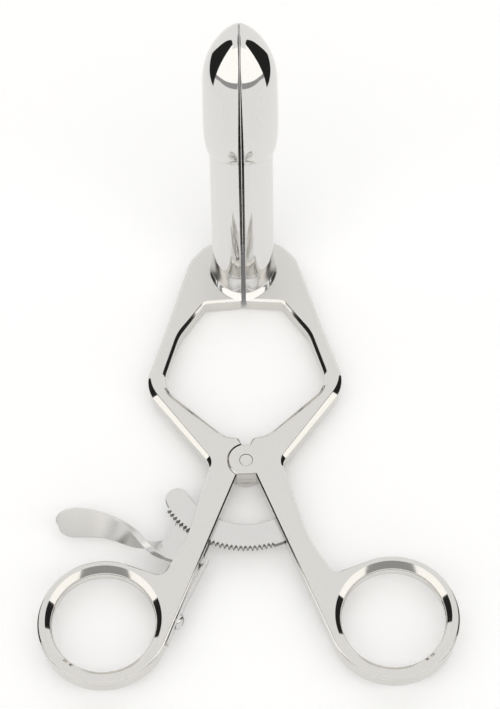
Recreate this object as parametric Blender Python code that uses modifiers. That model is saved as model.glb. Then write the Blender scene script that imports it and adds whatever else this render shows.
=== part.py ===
"""Anal speculum with two half-round blades, ring handles, an arc ratchet and a sprung release lever.

It lies flat with its blades closed. X is across, Y runs from the rings to the blades, Z is up, and the
origin is on the main pivot's axis, at the table. Lengths below are millimetres and angles are degrees.
"""

import math

import bmesh
import bpy
from mathutils import Matrix, Vector

MM = 0.001

# Levers: thickness, edge rounding, and how far the foot plates lie below the joint
LEVER_BOTTOM = 3.2
LEVER_THICK = 6.4
LEVER_EDGE = 1.15
WIDE_EDGE = 1.9
FOOT_DROP = 3.2
DROP_FROM_Y = 24.0
DROP_TO_Y = 57.0

# Foot plates and arms: corners of the right lever's outline, from the split round to the waist
SPLIT_HALF = 0.6
PLATE_FRONT_Y = 60.9
PLATE_BACK_Y = 84.6
PLATE_HALF_WIDE = 11.8
SHOULDER_X = 18.0
SHOULDER_Y = 76.9
ELBOW_X = 32.9
ELBOW_Y = 27.1
WAIST_X = 11.5
WAIST_Y = -0.8
NOOK_X = 12.9
NOOK_Y = 60.1
WINDOW_SIDE_X = 21.4
WINDOW_SIDE_Y = 47.9
WINDOW_ELBOW_X = 27.2
WINDOW_ELBOW_Y = 27.2
WINDOW_FRONT_X = 7.2
WINDOW_FRONT_Y = 9.6
NOTCH_X = 2.5
NOTCH_Y = 8.5

# How far each corner of that outline is rounded
PLATE_CORNER_ROUND = 1.2
PLATE_SIDE_ROUND = 9.0
SHOULDER_ROUND = 9.0
ELBOW_ROUND = 12.0
WAIST_ROUND = 5.0
HANDLE_ROUND = 30.0
CROTCH_ROUND = 3.0
NOTCH_ROUND = 1.25
WINDOW_FRONT_ROUND = 8.0
WINDOW_ELBOW_ROUND = 10.0
WINDOW_SIDE_ROUND = 16.0
NOOK_ROUND = 2.0

# Handles and rings
HANDLE_WIDE = 6.7
HANDLE_BEND = 25.8
RING_X = 44.8
RING_Y = -54.6
RING_OUTER_R = 20.4
RING_INNER_R = 16.3
RING_FLARE = 1.3
RING_MEETS_DEG = 108.0
CROTCH_OUT = 3.1
CROTCH_DEG = 140.6

# Lap joint and pivot
LAP_R = 5.9
LAP_GAP = 0.2
LAP_CORNER_X = 3.0
LAP_FLAT_Y = -5.05
LAP_END_DEG = 77.5
PIVOT_R = 2.1
PIVOT_CLEAR = 0.08
PIVOT_HEAD_R = 5.3
PIVOT_HEAD_THICK = 3.0

# Blades: radii of neck and head, wall, length along their axis, and the axis angle above the levers
BLADE_ANGLE = 65.0
BLADE_BASE_Y = 73.1
NECK_R = 9.95
HEAD_R = 11.85
WALL = 1.3
BLADE_LENGTH = 92.6
SHOULDER_AT = 47.0
SHOULDER_RUN = 13.0
NOSE_RUN = 20.0
NOSE_POWER = 0.7
REAR_HALF_GAP = 0.15
LIP_BREAK = 0.28

# Foot of the blades: a stepped rim on the plate, shield-shaped, and the flare above it
RIM_OUT = 1.05
RIM_FRONT_OUT = 1.5
RIM_HIGH = 1.5
RIM_SHIELD = 1.42
FLARE_OUT = 0.35
FLARE_HIGH = 6.0
FLARE_END = 19.0

# Ratchet rack: an arc about the pivot with teeth on its outer edge
RACK_TIP_R = 30.0
RACK_TOOTH = 1.0
RACK_WIDE = 7.4
RACK_THICK = 2.4
RACK_END_DEG = -61.0
TOOTH_PITCH = 1.5
TEETH_FROM_DEG = -58.7
TEETH_TO_DEG = 16.0
SLOT_GAP = 0.3
SLOT_CLEAR = 0.4
SLOT_PAST_TIPS = 1.0
LEFT_SLOT_FROM_DEG = 14.0
LEFT_SLOT_TO_DEG = -34.0
PAWL_ROOM_WIDE = 21.0
PAWL_ROOM_LONG = 11.8
RIVET_R = 1.2
PIN_CLEAR = 0.08

# Release lever: its pin lies beyond the rack's teeth, and its pawl rests lifted clear of them
PIN_BEYOND_TEETH = 5.79
PIN_INSET = 2.95
PAWL_BOSS_R = 2.9
PAWL_LIFT_DEG = 6.2
PAWL_TEETH = 3
PAWL_TEETH_AHEAD = 10.05
TAB_REACH = 43.4
TAB_WIDE = 9.4
TAB_THICK = 2.4
TAB_TILT = 35.0

# Leaf spring and its screw
SPRING_THICK = 0.6
SPRING_HIGH = 3.6
SPRING_LONG = 31.0
SPRING_OFF_WALL = 0.15
SPRING_SCREW_ALONG = 22.5
SPRING_SCREW_R = 1.1
SPRING_SCREW_DEEP = 4.2
SPRING_HEAD_R = 2.6
SPRING_HEAD_THICK = 1.4
SCREW_SLOT_WIDE = 0.6

LEVER_TOP = LEVER_BOTTOM + LEVER_THICK
LEVER_MID = LEVER_BOTTOM + LEVER_THICK / 2
PLATE_TOP = LEVER_TOP - FOOT_DROP
BLADE_COS = math.cos(math.radians(BLADE_ANGLE))
BLADE_SIN = math.sin(math.radians(BLADE_ANGLE))
RACK_INNER_R = RACK_TIP_R - RACK_TOOTH - RACK_WIDE
RACK_MID_R = (RACK_TIP_R - RACK_TOOTH + RACK_INNER_R) / 2
RACK_LOW = LEVER_MID - RACK_THICK / 2
RACK_HIGH = LEVER_MID + RACK_THICK / 2
TOOTH_DEG = math.degrees(TOOTH_PITCH / RACK_TIP_R)
TEETH_COUNT = int((TEETH_TO_DEG - TEETH_FROM_DEG) / TOOTH_DEG)

# The right handle's inner wall leaves the joint's corner and touches the ring; the left one mirrors it
joint_corner = Vector((LAP_CORNER_X, LAP_FLAT_Y))
ring_centre = Vector((RING_X, RING_Y))
to_ring = ring_centre - joint_corner
wall_angle = math.atan2(to_ring.y, to_ring.x) - math.asin(RING_OUTER_R / to_ring.length)
wall_run = Vector((math.cos(wall_angle), math.sin(wall_angle)))
wall_out = Vector((-wall_run.y, wall_run.x))
wall_touch = wall_run * math.sqrt(to_ring.length_squared - RING_OUTER_R**2) - to_ring
touch_deg = math.degrees(math.atan2(wall_touch.y, wall_touch.x))
wall_deg = 90 + math.degrees(wall_angle)
wall_off_axis = abs(joint_corner.x * wall_run.y - joint_corner.y * wall_run.x)


def angle_in_handle(radius, inset):
    """Angle from -Y of the point at this radius and this far inside the right handle's inner wall."""
    return wall_deg + math.degrees(math.asin((inset + wall_off_axis) / radius))


def polar(radius, degrees, x=0.0, y=0.0):
    a = math.radians(degrees)
    return (x + radius * math.cos(a), y + radius * math.sin(a))


def arc(x, y, radius, start, end, step=6.0):
    count = max(2, math.ceil(abs(end - start) / step))
    return [polar(radius, start + (end - start) * i / count, x, y) for i in range(count + 1)]


def fillet(corners, step=12.0):
    """Rounds each corner (x, y, radius) of a closed outline."""
    out = []
    total = len(corners)
    for i, (x, y, radius) in enumerate(corners):
        here = Vector((x, y))
        if radius <= 0:
            out.append((x, y))
            continue
        before = Vector(corners[i - 1][:2]) - here
        after = Vector(corners[(i + 1) % total][:2]) - here
        room = min(before.length, after.length) * 0.98
        before.normalize()
        after.normalize()
        half = before.angle(after) / 2
        back = min(radius / math.tan(half), room)
        radius = back * math.tan(half)
        middle = here + (before + after).normalized() * (radius / math.sin(half))
        start = here + before * back - middle
        end = here + after * back - middle
        a0 = math.degrees(math.atan2(start.y, start.x))
        turn = math.degrees(math.atan2(start.x * end.y - start.y * end.x, start.dot(end)))
        out += arc(middle.x, middle.y, radius, a0, a0 + turn, step)
    return out


def ease(t):
    t = min(1.0, max(0.0, t))
    return t * t * (3 - 2 * t)


def new_collection(name):
    collection = bpy.data.collections.new(name)
    bpy.context.scene.collection.children.link(collection)
    return collection


def steel(name, colour, roughness):
    material = bpy.data.materials.new(name)
    material.use_nodes = True
    shader = material.node_tree.nodes["Principled BSDF"]
    shader.inputs["Base Color"].default_value = (*colour, 1.0)
    shader.inputs["Metallic"].default_value = 1.0
    shader.inputs["Roughness"].default_value = roughness
    return material


def add_object(name, mesh, material=None):
    """Links a mesh as a part, or as a cutter when it has no material."""
    obj = bpy.data.objects.new(name, mesh)
    if material:
        parts.objects.link(obj)
        mesh.materials.append(material)
    else:
        cutters.objects.link(obj)
        obj.hide_render = True
        obj.display_type = "WIRE"
    return obj


def finish(data, name, material=None):
    """Turns edited mesh data into an object with its faces pointing out."""
    bmesh.ops.recalc_face_normals(data, faces=data.faces)
    mesh = bpy.data.meshes.new(name)
    data.to_mesh(mesh)
    data.free()
    return add_object(name, mesh, material)


def raised(outline, low, high):
    """A flat outline filled and extruded between two heights."""
    data = bmesh.new()
    face = data.faces.new([data.verts.new((x * MM, y * MM, low * MM)) for x, y in outline])
    extrusion = bmesh.ops.extrude_face_region(data, geom=[face], use_keep_orig=True)
    top = [item for item in extrusion["geom"] if isinstance(item, bmesh.types.BMVert)]
    bmesh.ops.translate(data, verts=top, vec=(0, 0, (high - low) * MM))
    return data


def cylinder(name, radius, x, y, low, high, material=None, sides=32):
    data = bmesh.new()
    bmesh.ops.create_cone(
        data,
        cap_ends=True,
        segments=sides,
        radius1=radius * MM,
        radius2=radius * MM,
        depth=(high - low) * MM,
    )
    obj = finish(data, name, material)
    obj.location = Vector((x, y, (low + high) / 2)) * MM
    return obj


def box(name, size, centre, turn=None):
    data = bmesh.new()
    bmesh.ops.create_cube(data, size=1.0)
    bmesh.ops.scale(data, vec=Vector(size) * MM, verts=data.verts)
    obj = finish(data, name)
    obj.matrix_world = Matrix.Translation(Vector(centre) * MM) @ (turn or Matrix()).to_4x4()
    return obj


def turned(name, profile, steps, material=None):
    """A (radius, height) profile, from its top on the axis to its foot, turned about Z."""
    mesh = bpy.data.meshes.new(name)
    points = [(radius * MM, 0, height * MM) for radius, height in profile]
    mesh.from_pydata(points, [(i, i + 1) for i in range(len(points) - 1)], [])
    obj = add_object(name, mesh, material)
    screw = obj.modifiers.new("turn", "SCREW")
    screw.steps = steps
    screw.render_steps = steps
    screw.use_merge_vertices = True
    screw.merge_threshold = 1e-6
    return obj


def round_edges(obj, width, segments, limit=40.0):
    bevel = obj.modifiers.new("edges", "BEVEL")
    bevel.width = width * MM
    bevel.segments = segments
    bevel.limit_method = "ANGLE"
    bevel.angle_limit = math.radians(limit)
    bevel.use_clamp_overlap = False
    return bevel


def cut(obj, cutter, operation="DIFFERENCE"):
    modifier = obj.modifiers.new(cutter.name, "BOOLEAN")
    modifier.operation = operation
    modifier.solver = "EXACT"
    modifier.object = cutter
    modifier.use_hole_tolerant = True


for old in list(bpy.data.objects):
    bpy.data.objects.remove(old, do_unlink=True)
bpy.context.scene.unit_settings.system = "METRIC"
parts = new_collection("anal_speculum")
cutters = new_collection("cutters")
satin_steel = steel("satin_steel", (0.62, 0.61, 0.59), 0.24)
mirror_steel = steel("mirror_steel", (0.66, 0.66, 0.65), 0.12)
ground_steel = steel("ground_steel", (0.58, 0.57, 0.55), 0.3)
spring_steel = steel("spring_steel", (0.5, 0.5, 0.5), 0.28)


# Levers: one outline for both, mirrored for the left
def lever_outline():
    crotch = ring_centre + Vector(polar(RING_OUTER_R + CROTCH_OUT, CROTCH_DEG))
    bend = joint_corner + wall_run * HANDLE_BEND + wall_out * HANDLE_WIDE
    ring = arc(*ring_centre, RING_OUTER_R, RING_MEETS_DEG, touch_deg, 9)
    flat_deg = 180 - math.degrees(math.asin(LAP_FLAT_Y / LAP_R))
    lap = [joint_corner[:]] + arc(0, 0, LAP_R, flat_deg, LAP_END_DEG, 9)
    corners = [
        (SPLIT_HALF, PLATE_FRONT_Y, PLATE_CORNER_ROUND),
        (SPLIT_HALF, PLATE_BACK_Y, PLATE_CORNER_ROUND),
        (PLATE_HALF_WIDE, PLATE_BACK_Y - 0.6, PLATE_SIDE_ROUND),
        (SHOULDER_X, SHOULDER_Y, SHOULDER_ROUND),
        (ELBOW_X, ELBOW_Y, ELBOW_ROUND),
        (WAIST_X, WAIST_Y, WAIST_ROUND),
        (*bend, HANDLE_ROUND),
        (*crotch, CROTCH_ROUND),
        *[(*point, 0) for point in ring + lap],
        (NOTCH_X, NOTCH_Y, NOTCH_ROUND),
        (WINDOW_FRONT_X, WINDOW_FRONT_Y, WINDOW_FRONT_ROUND),
        (WINDOW_ELBOW_X, WINDOW_ELBOW_Y, WINDOW_ELBOW_ROUND),
        (WINDOW_SIDE_X, WINDOW_SIDE_Y, WINDOW_SIDE_ROUND),
        (NOOK_X, NOOK_Y, NOOK_ROUND),
    ]
    return fillet(corners)


def drop_at(y):
    return FOOT_DROP * ease((y - DROP_FROM_Y) / (DROP_TO_Y - DROP_FROM_Y))


def edge_width(x, y, outward):
    """Top edges that face the window, or down between elbow and waist, are broken more widely."""
    arm = Vector((ELBOW_X - WAIST_X, ELBOW_Y - WAIST_Y)).normalized()
    below = outward.dot(Vector((arm.y, -arm.x)))
    lower = ease((below - 0.7) / 0.3) if y > WAIST_Y - 2 else 0
    into_window = Vector((-x, (PLATE_FRONT_Y + WINDOW_FRONT_Y) / 2 - y)).normalized()
    facing = ease((outward.dot(into_window) - 0.2) / 0.4)
    window = facing * ease((y - WINDOW_FRONT_Y) / 8) * ease((NOOK_Y - 1 - y) / 8)
    return LEVER_EDGE + (WIDE_EDGE - LEVER_EDGE) * max(lower, window)


def lever_blank(name, side):
    """The bevelled outline, cut across where it bends, and lowered toward the foot plate."""
    data = raised([(x * side, y) for x, y in lever_outline()], LEVER_BOTTOM, LEVER_TOP)
    bmesh.ops.recalc_face_normals(data, faces=data.faces)
    weights = data.edges.layers.float.new("bevel_weight_edge")
    for edge in data.edges:
        flat_sides = [abs(face.normal.z) > 0.5 for face in edge.link_faces]
        if any(flat_sides) and not all(flat_sides):
            middle = (edge.verts[0].co + edge.verts[1].co) / 2 / MM
            wall = edge.link_faces[flat_sides.index(False)].normal
            width = LEVER_EDGE
            if middle.z > LEVER_MID:
                width = edge_width(middle.x * side, middle.y, Vector((wall.x * side, wall.y)))
            edge[weights] = width / WIDE_EDGE
    flat = finish(data, name + "_flat")
    bevel = round_edges(flat, WIDE_EDGE, 3)
    bevel.limit_method = "WEIGHT"
    bevel.loop_slide = False
    bpy.context.view_layer.update()
    mesh = bpy.data.meshes.new_from_object(flat.evaluated_get(bpy.context.evaluated_depsgraph_get()))
    bpy.data.objects.remove(flat, do_unlink=True)
    data = bmesh.new()
    data.from_mesh(mesh)
    stations = 6
    for i in range(stations + 1):
        y = DROP_FROM_Y + (DROP_TO_Y - DROP_FROM_Y) * i / stations
        bmesh.ops.bisect_plane(
            data,
            geom=data.verts[:] + data.edges[:] + data.faces[:],
            dist=1e-7,
            plane_co=(0, y * MM, 0),
            plane_no=(0, 1, 0),
        )
    for vert in data.verts:
        vert.co.z -= drop_at(vert.co.y / MM) * MM
    return finish(data, name, satin_steel)


def ring_cutter(name, side):
    """A waisted plug, so that the ring's hole flares at both faces."""
    flare = [(RING_INNER_R + RING_FLARE * (1 - math.sin(a)), RING_FLARE * (1 - math.cos(a)))
             for a in (math.radians(30 * i) for i in range(4))]
    wide = RING_INNER_R + RING_FLARE
    profile = [(0, LEVER_TOP + 1), (wide, LEVER_TOP + 1)]
    profile += [(radius, LEVER_TOP - depth) for radius, depth in flare]
    profile += [(radius, LEVER_BOTTOM + depth) for radius, depth in reversed(flare)]
    profile += [(wide, LEVER_BOTTOM - 1), (0, LEVER_BOTTOM - 1)]
    cutter = turned(name, profile, 40)
    cutter.location = (RING_X * side * MM, RING_Y * MM, 0)
    return cutter


def sector(name, inner, outer, start, end, low, high):
    """A cutter that is a sector about the pivot; its angles are measured from -Y toward +X."""
    outline = arc(0, 0, inner, start - 90, end - 90, 4) + arc(0, 0, outer, end - 90, start - 90, 4)
    return finish(raised(outline, low, high), name)


left_lever = lever_blank("left_lever", -1)
right_lever = lever_blank("right_lever", 1)
cut(left_lever, ring_cutter("left_ring_hole", -1))
cut(right_lever, ring_cutter("right_ring_hole", 1))

# Lap joint: the right lever's tongue lies on the left lever's
lap_z = LEVER_MID - 0.9
cut(left_lever, cylinder("left_lap", LAP_R + LAP_GAP, 0, 0, lap_z, LEVER_TOP + 2, sides=52))
cut(right_lever, cylinder("right_lap", LAP_R + LAP_GAP, 0, 0, LEVER_BOTTOM - 2, lap_z + LAP_GAP, sides=52))
pivot_hole = cylinder("pivot_hole", PIVOT_R + PIVOT_CLEAR, 0, 0, 0, LEVER_TOP + 2, sides=32)
cut(left_lever, pivot_hole)
cut(right_lever, pivot_hole)

# Slots for the rack in both handles, and a wider one in the left for the pawl
slot_low = RACK_LOW - SLOT_GAP
slot_high = RACK_HIGH + SLOT_GAP
root_deg = angle_in_handle(RACK_MID_R, HANDLE_WIDE * 0.66)
pin_r = RACK_TIP_R + PIN_BEYOND_TEETH
pin_deg = -angle_in_handle(pin_r, PIN_INSET)
pin = Vector(polar(pin_r, pin_deg - 90))
cut(
    left_lever,
    sector(
        "left_slot",
        RACK_INNER_R - SLOT_CLEAR,
        RACK_TIP_R + SLOT_PAST_TIPS,
        LEFT_SLOT_FROM_DEG - wall_deg,
        LEFT_SLOT_TO_DEG - wall_deg,
        slot_low,
        slot_high,
    ),
)
cut(
    right_lever,
    sector(
        "right_slot",
        RACK_INNER_R - SLOT_GAP,
        RACK_TIP_R + SLOT_GAP,
        wall_deg - 10,
        root_deg + 0.8,
        slot_low,
        slot_high,
    ),
)
pawl_room = (PAWL_ROOM_WIDE, PAWL_ROOM_LONG, slot_high - slot_low)
pawl_slot = box("pawl_slot", pawl_room, (pin.x - 2.2, pin.y + 1.2, LEVER_MID))
cut(left_lever, pawl_slot)

# Rivet that holds the rack's root, and the release lever's pin: both blind from below
rivet = polar(RACK_MID_R, angle_in_handle(RACK_MID_R, HANDLE_WIDE * 0.34) - 90)
blind_top = LEVER_TOP - 0.9
cut(right_lever, cylinder("rivet_hole", RIVET_R + PIN_CLEAR, *rivet, 0, blind_top, sides=28))
cut(left_lever, cylinder("release_pin_hole", RIVET_R + PIN_CLEAR, *pin, 0, blind_top, sides=28))

# Foot holes: the blades' spigots stand in one oval opening, half in each plate
oval = []
for i in range(64):
    a = 2 * math.pi * (i + 0.5) / 64
    x = (NECK_R + 0.2) * math.cos(a) + math.copysign(SPLIT_HALF, math.cos(a))
    oval.append((x, BLADE_BASE_Y + math.sin(a) * (NECK_R / BLADE_SIN + 0.2)))
foot_hole = finish(raised(oval, LEVER_BOTTOM - FOOT_DROP - 2, PLATE_TOP + 3), "foot_hole")
cut(left_lever, foot_hole)
cut(right_lever, foot_hole)


# Blades: half shells, lofted from a shield-shaped foot through a round neck to a wide head and a nose
def blade_radius(w):
    """Outer radius at a distance along the blade's axis."""
    rise = math.sin(math.pi / 2 * math.sqrt(min(1.0, max(0.0, (w - SHOULDER_AT) / SHOULDER_RUN))))
    radius = NECK_R + (HEAD_R - NECK_R) * rise
    into_nose = (w - (BLADE_LENGTH - NOSE_RUN)) / NOSE_RUN
    if into_nose > 0:
        radius *= max(0.0, 1 - into_nose**2) ** NOSE_POWER
    return radius


def half_gap(w, angle):
    """Half the gap between the blades: it widens toward the shoulder, and closes at the rear lips."""
    front = SPLIT_HALF + 0.2 * ease(w / SHOULDER_AT)
    front -= (SPLIT_HALF + 0.05) * ease((w - SHOULDER_AT) / (BLADE_LENGTH - SHOULDER_AT))
    return REAR_HALF_GAP + (front - REAR_HALF_GAP) * (1 - math.sin(angle)) / 2


def foot_point(angle, z, radius, out=0.0, front_out=0.0, power=2.0):
    """A point of the level section at one height, which is an oval or nearer to a shield."""
    across = math.cos(angle)
    along = math.sin(angle)
    x = half_gap(0, angle) + (radius + out) * abs(across) ** (2 / power)
    reach = (radius / BLADE_SIN + front_out) * math.copysign(abs(along) ** (2 / power), along)
    rise = max(0.0, z - PLATE_TOP)
    return Vector((x, BLADE_BASE_Y + rise * BLADE_COS / BLADE_SIN + reach, z))


def shaft_point(angle, w, radius):
    """A point of the round section square to the blade's axis."""
    x = half_gap(w, angle) + radius * math.cos(angle)
    y = BLADE_BASE_Y + w * BLADE_COS + radius * math.sin(angle) * BLADE_SIN
    z = PLATE_TOP + w * BLADE_SIN - radius * math.sin(angle) * BLADE_COS
    return Vector((x, y, z))


def blade_rows(angles):
    """Matching rows of points on the outer and the inner surface, from the spigot to near the tip."""
    bore = NECK_R - WALL
    base = PLATE_TOP + 0.1
    rim_top = base + RIM_HIGH
    outer = [
        [foot_point(a, 0, NECK_R) for a in angles],
        [foot_point(a, base, NECK_R) for a in angles],
        [foot_point(a, base, NECK_R, RIM_OUT, RIM_FRONT_OUT, RIM_SHIELD + 0.2) for a in angles],
        [foot_point(a, rim_top - 0.2, NECK_R, FLARE_OUT + 0.08, 0.1, RIM_SHIELD) for a in angles],
    ]
    inner = [[foot_point(a, z, bore) for a in angles] for z in (0, base - 0.6, base + 0.3, base + 0.9)]
    steps = 5
    for i in range(steps + 1):
        t = i / steps
        z = rim_top + FLARE_HIGH * t
        power = RIM_SHIELD + (2 - RIM_SHIELD) * ease(t)
        out = FLARE_OUT * (1 - t) ** 2
        outer.append([foot_point(a, z, NECK_R, out, out - FLARE_OUT * (1 - t), power) for a in angles])
        inner.append([foot_point(a, z, bore, 0, 0, (power + 2) / 2) for a in angles])
    for k in (0.4, 1.0):
        for rows, radius in ((outer, NECK_R), (inner, bore)):
            row = []
            for a in angles:
                start = (rim_top + FLARE_HIGH - PLATE_TOP + radius * math.sin(a) * BLADE_COS) / BLADE_SIN
                row.append(shaft_point(a, start + (FLARE_END - start) * k, radius))
            rows.append(row)
    nose_at = BLADE_LENGTH - NOSE_RUN
    stations = [FLARE_END + (SHOULDER_AT - FLARE_END) * t for t in (0.33, 0.67, 1.0)]
    stations += [SHOULDER_AT + SHOULDER_RUN * t for t in (0.015, 0.06, 0.15, 0.3, 0.6, 1.0)]
    stations += [nose_at + NOSE_RUN * t for t in (0.0, 0.2, 0.38, 0.54, 0.68, 0.8, 0.89, 0.955, 0.988)]
    for w in stations:
        outer.append([shaft_point(a, w, blade_radius(w)) for a in angles])
        bored = min(w, nose_at) + max(0.0, w - nose_at) * (NOSE_RUN - 1.6 * WALL) / NOSE_RUN
        radius = blade_radius(w) - WALL if w < nose_at else blade_radius(w) * (HEAD_R - WALL) / HEAD_R
        inner.append([shaft_point(a, bored, radius) for a in angles])
    return outer, inner


def blade(name, side):
    angles = [math.radians(-90 + 180 * i / 16) for i in range(17)]
    outer, inner = blade_rows(angles)
    data = bmesh.new()

    def vert(point):
        return data.verts.new((point.x * side * MM, point.y * MM, point.z * MM))

    def bridge(low, high):
        for i in range(len(low) - 1):
            data.faces.new((low[i], low[i + 1], high[i + 1], high[i]))

    # Each row runs round the outside, over one rounded lip, back along the inside and over the other
    tip_out = vert(shaft_point(0, BLADE_LENGTH, 0.0))
    tip_in = vert(shaft_point(0, BLADE_LENGTH - 1.6 * WALL, 0.0))
    loops = []
    for row_out, row_in in zip(outer, inner):
        lips = []
        lip_break = min(LIP_BREAK, 0.06 * (row_in[0] - row_in[-1]).length)
        for end in (0, -1):
            a = row_out[end]
            b = row_in[end]
            split_x = min(a.x, b.x)
            lip = []
            for share, back in ((0.2, 0.25), (0.5, 0.0), (0.8, 0.25)):
                lip.append(Vector((split_x + lip_break * back, *a.lerp(b, share).yz)))
            lips.append(lip)
            a.x += lip_break
            b.x += lip_break
        front, rear = lips
        loop = row_out + rear + row_in[::-1] + front[::-1]
        loops.append([vert(point) for point in loop])
    for low, high in zip(loops, loops[1:]):
        bridge(low + low[:1], high + high[:1])
    foot = loops[0]
    last = loops[-1]
    count = len(angles)
    data.faces.new(foot)
    outside = last[:count]
    rear = last[count - 1 : count + 4]
    inside = last[count + 3 : 2 * count + 3]
    front = last[2 * count + 2 :] + last[:1]
    for strip, tip in ((outside, tip_out), (inside, tip_in)):
        for a, b in zip(strip, strip[1:]):
            data.faces.new((a, b, tip))
    for strip, near, far in ((rear, tip_out, tip_in), (front, tip_in, tip_out)):
        data.faces.new((strip[0], strip[1], near))
        data.faces.new((strip[1], strip[2], near))
        data.faces.new((strip[2], far, near))
        data.faces.new((strip[2], strip[3], far))
        data.faces.new((strip[3], strip[4], far))
    bmesh.ops.triangulate(data, faces=[face for face in data.faces if len(face.verts) > 4])
    return finish(data, name, mirror_steel)


left_blade = blade("left_blade", -1)
right_blade = blade("right_blade", 1)

# Pivot: a shaft flush with the tongue, with a low round head underneath
pivot_pin = turned(
    "pivot_pin",
    [
        (0, LEVER_TOP),
        (PIVOT_R - 0.15, LEVER_TOP),
        (PIVOT_R, LEVER_TOP - 0.15),
        (PIVOT_R, PIVOT_HEAD_THICK),
        (PIVOT_HEAD_R, PIVOT_HEAD_THICK),
        *[(PIVOT_HEAD_R - 0.8 + x, 0.8 + y) for x, y in arc(0, 0, 0.8, 0, -90, 30)],
        (0, 0),
    ],
    48,
    satin_steel,
)


# Rack: toothed arc with a round free end, rooted in the right handle
def rack_outline():
    end_r = RACK_WIDE / 2
    end = polar(RACK_MID_R, RACK_END_DEG - 90)
    outline = arc(0, 0, RACK_INNER_R, root_deg - 90, RACK_END_DEG - 90, 3)
    outline += arc(*end, end_r, RACK_END_DEG + 90, RACK_END_DEG + 270, 15)[1:]
    for i in range(TEETH_COUNT):
        start = TEETH_FROM_DEG + i * TOOTH_DEG - 90
        for t, high in ((0.0, 0.0), (0.16, 0.0), (0.5, 1.0), (0.66, 1.0)):
            outline.append(polar(RACK_TIP_R - RACK_TOOTH * (1 - high), start + t * TOOTH_DEG))
    teeth_end = TEETH_FROM_DEG + TEETH_COUNT * TOOTH_DEG
    outline.append(polar(RACK_TIP_R - RACK_TOOTH, teeth_end - 90))
    outline += arc(0, 0, RACK_TIP_R - 0.1, teeth_end + 0.8 - 90, root_deg - 90, 3)
    return outline


ratchet_rack = finish(raised(rack_outline(), RACK_LOW, RACK_HIGH), "ratchet_rack", ground_steel)
round_edges(ratchet_rack, 0.15, 1, 80)
cut(ratchet_rack, cylinder("rack_hole", RIVET_R + PIN_CLEAR, *rivet, slot_low, slot_high, sides=28))
rivet_span = (LEVER_BOTTOM + 0.05, blind_top - 0.2)
rack_rivet = cylinder("rack_rivet", RIVET_R, *rivet, *rivet_span, ground_steel, 28)
release_pin = cylinder("release_pin", RIVET_R, *pin, *rivet_span, ground_steel, 28)


# Release lever, drawn about its own pin: toothed pawl in the slot, twisted neck and broad thumb tab
def pawl_outline():
    """The teeth are drawn in mesh with the rack's, then lifted clear of them about the pin."""
    ahead = pin_deg - math.degrees(PAWL_TEETH_AHEAD / RACK_TIP_R)
    first = TEETH_FROM_DEG + round((ahead - TEETH_FROM_DEG) / TOOTH_DEG) * TOOTH_DEG
    teeth = []
    for i in range(PAWL_TEETH):
        space = first + (i + 0.08) * TOOTH_DEG - 90
        for t, radius in ((-0.4, 0.15), (-0.06, -0.8), (0.06, -0.8), (0.4, 0.15)):
            teeth.append(polar(RACK_TIP_R + radius, space + t * TOOTH_DEG))
    teeth.append(polar(RACK_TIP_R + 0.35, first + (PAWL_TEETH + 0.6) * TOOTH_DEG - 90))
    lift = Matrix.Rotation(math.radians(PAWL_LIFT_DEG), 2)
    outline = [tuple(lift @ (Vector(point) - pin)) for point in teeth]
    heel = [(3.1, -2.0), (2.9, -3.2), (2.1, -3.5)]
    back = [(-6.2, -2.0), (-9.2, -1.0), (-10.2, 4.1), (-8.2, 6.0), (-7.2, 8.0)]
    outline.append((2.3, 2.9))
    outline += arc(0, 0, PAWL_BOSS_R, 40, -5, 15) + heel
    outline += arc(0, 0, PAWL_BOSS_R, -62, -110, 12) + back
    return outline


def tab_sections():
    """Rounded sections from the pawl to the tab's end, each with its place, width, thickness and tilt."""
    stations = [
        (-0.170, 0.046, 0.70, 0.92, 0.0),
        (-0.235, 0.053, 0.70, 0.96, 0.11),
        (-0.304, 0.076, 0.66, 1.0, 0.28),
        (-0.385, 0.115, 0.64, 1.0, 0.51),
        (-0.465, 0.161, 0.64, 1.0, 0.74),
        (-0.558, 0.212, 0.68, 1.0, 0.91),
        (-0.650, 0.249, 0.79, 1.0, 1.0),
        (-0.753, 0.272, 0.94, 1.0, 1.0),
        (-0.857, 0.281, 1.0, 0.96, 1.0),
        (-0.931, 0.283, 0.91, 0.92, 1.0),
        (-0.977, 0.281, 0.68, 0.83, 1.0),
        (-1.000, 0.276, 0.36, 0.67, 1.0),
    ]
    sections = []
    for i, (x, y, width, thick, tilt) in enumerate(stations):
        ahead = Vector(stations[min(i + 1, len(stations) - 1)][:2])
        behind = Vector(stations[max(i - 1, 0)][:2])
        run = (ahead - behind).normalized().to_3d()
        lean = Matrix.Rotation(math.radians(-TAB_TILT * tilt), 3, run)
        wide = lean @ Vector((run.y, -run.x, 0))
        deep = run.cross(wide)
        centre = Vector((x, y, 0)) * TAB_REACH
        half_w = width * TAB_WIDE / 2
        half_t = thick * TAB_THICK / 2
        corner = half_t * 0.75
        section = []
        for quarter in range(4):
            sx = 1 if quarter in (0, 3) else -1
            sy = 1 if quarter < 2 else -1
            flat_w = sx * (half_w - corner)
            flat_t = sy * (half_t - corner)
            for u, v in arc(flat_w, flat_t, corner, 90 * quarter, 90 * quarter + 90, 30):
                section.append(centre + wide * u + deep * v)
        sections.append(section)
    return sections


def lofted(name, sections):
    """A closed form through sections with equal numbers of points."""
    data = bmesh.new()
    rings = [[data.verts.new(point * MM) for point in section] for section in sections]
    for low, high in zip(rings, rings[1:]):
        for i in range(len(low)):
            j = i - 1
            data.faces.new((low[j], low[i], high[i], high[j]))
    data.faces.new(rings[0])
    data.faces.new(rings[-1])
    return finish(data, name)


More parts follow.
